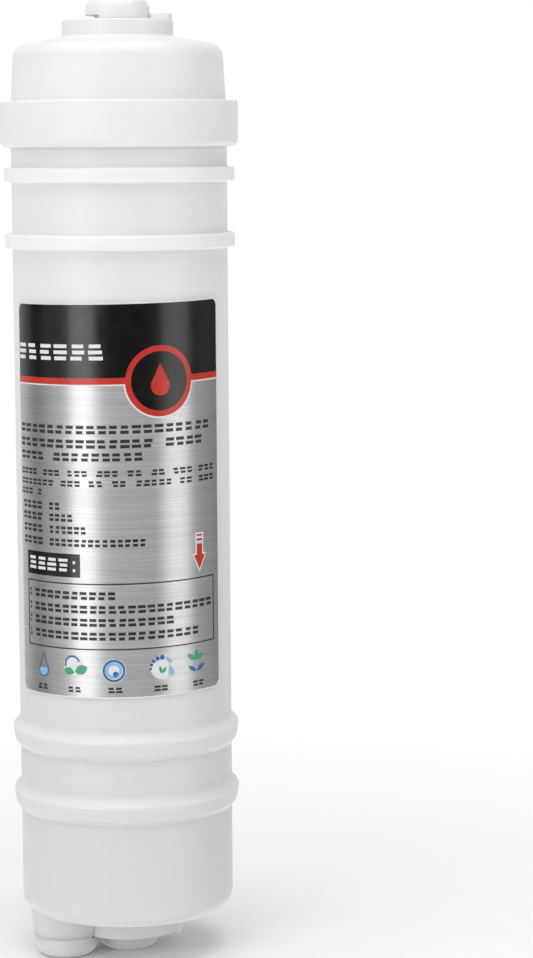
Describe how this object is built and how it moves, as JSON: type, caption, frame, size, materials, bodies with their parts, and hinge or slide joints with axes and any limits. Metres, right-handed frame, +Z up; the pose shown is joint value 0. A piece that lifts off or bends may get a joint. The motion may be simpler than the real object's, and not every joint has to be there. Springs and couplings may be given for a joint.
{
  "type": "inline water filter",
  "caption": "Sealed cylindrical reverse-osmosis filter cartridge with one push-fit tube port on top, two below, clip ribs and a wrapped label.",
  "frame": {"origin": "on the housing axis, level with the ends of the two lower ports", "axes": "+Z up along the housing axis toward the feed port; the label faces -Y; the concentrate port lies toward -X and a little toward -Y"},
  "size_m": [0.0662, 0.0662, 0.2691],
  "materials": {
    "housing": "milky translucent polypropylene, satin",
    "cap": "opaque white polypropylene, satin",
    "label": "silver film with a black band, glossy print",
    "acetal": "smooth white acetal",
    "steel": "spring stainless steel",
    "rubber": "black nitrile rubber",
    "core": "off-white ABS",
    "membrane": "cream polyamide sheet",
    "spacer": "extruded netting",
    "carrier": "knitted tricot",
    "wrap": "clear-blue tape"
  },
  "bodies": {
    "cartridge": {"housing": "housing", "end_cap": "cap", "label": "label", "feed_port_cap": "cap", "feed_grab_ring": "steel", "feed_o_ring": "rubber", "permeate_port_cap": "cap", "permeate_grab_ring": "steel", "permeate_o_ring": "rubber", "concentrate_port_cap": "cap", "concentrate_grab_ring": "steel", "concentrate_o_ring": "rubber", "permeate_tube": "core", "permeate_tube_plug": "core", "permeate_tube_o_ring_upper": "rubber", "permeate_tube_o_ring_lower": "rubber", "permeate_carrier": "carrier", "membrane_leaf": "membrane", "feed_spacer": "spacer", "element_wrap": "wrap", "brine_end_ring": "core", "feed_end_ring": "core", "brine_seal": "rubber", "check_valve_seat": "core", "check_valve_spring": "steel"},
    "feed_collet": {"feed_collet": "acetal"},
    "permeate_collet": {"permeate_collet": "acetal"},
    "concentrate_collet": {"concentrate_collet": "acetal"},
    "check_valve_poppet": {"check_valve_poppet": "acetal"}
  },
  "joints": [
    {"name": "feed_collet_push", "type": "slide", "parent": "cartridge", "child": "feed_collet", "axis": [0, 0, -1], "range_m": [0, 0.0012], "stiffness_N_per_m": 2000},
    {"name": "permeate_collet_push", "type": "slide", "parent": "cartridge", "child": "permeate_collet", "axis": [0, 0, 1], "range_m": [0, 0.0012], "stiffness_N_per_m": 2000},
    {"name": "concentrate_collet_push", "type": "slide", "parent": "cartridge", "child": "concentrate_collet", "axis": [0, 0, 1], "range_m": [0, 0.0012], "stiffness_N_per_m": 2000},
    {"name": "check_valve_lift", "type": "slide", "parent": "cartridge", "child": "check_valve_poppet", "axis": [0, 0, -1], "range_m": [0, 0.0015], "stiffness_N_per_m": 80, "springref_m": -0.001, "deforming": ["check_valve_spring"]}
  ]
}
